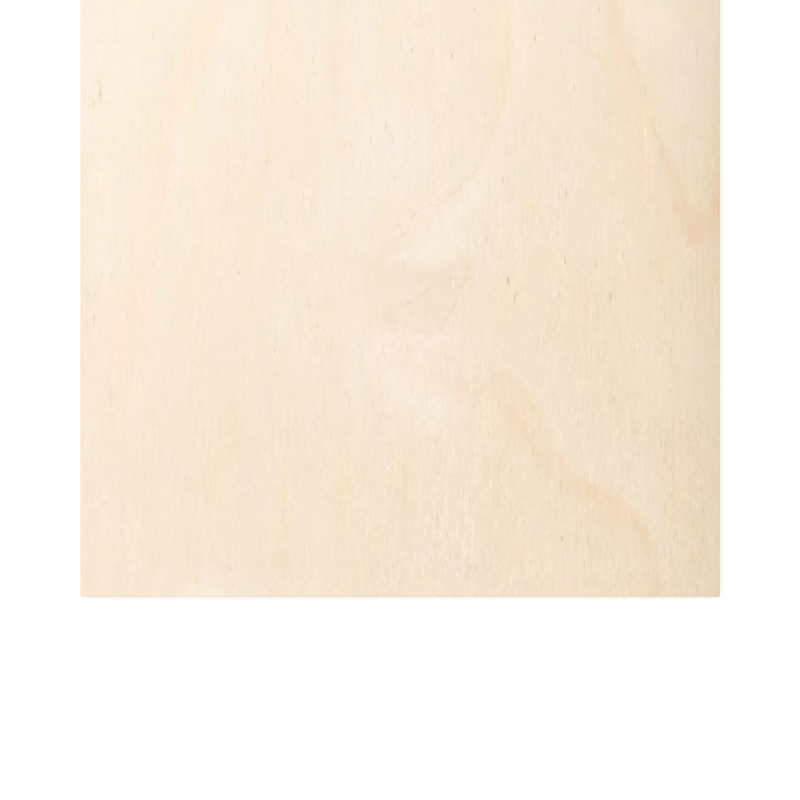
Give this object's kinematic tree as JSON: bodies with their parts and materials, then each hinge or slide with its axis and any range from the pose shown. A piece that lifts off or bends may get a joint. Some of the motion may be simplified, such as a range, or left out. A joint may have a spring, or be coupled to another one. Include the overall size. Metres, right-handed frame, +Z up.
{
  "type": "plywood sheet",
  "caption": "Flat rectangular sheet of birch plywood with square corners and lightly eased edges, its face grain running the long way.",
  "frame": {"origin": "centre of the underside", "axes": "+X across the face grain, +Y along the face grain and the sheet's length, +Z up through the thickness, out of the good face"},
  "size_m": [0.3, 0.6, 0.006],
  "materials": {
    "birch_plywood": "matte"
  },
  "bodies": {
    "root": {"plywood_sheet": "birch_plywood"}
  },
  "joints": []
}
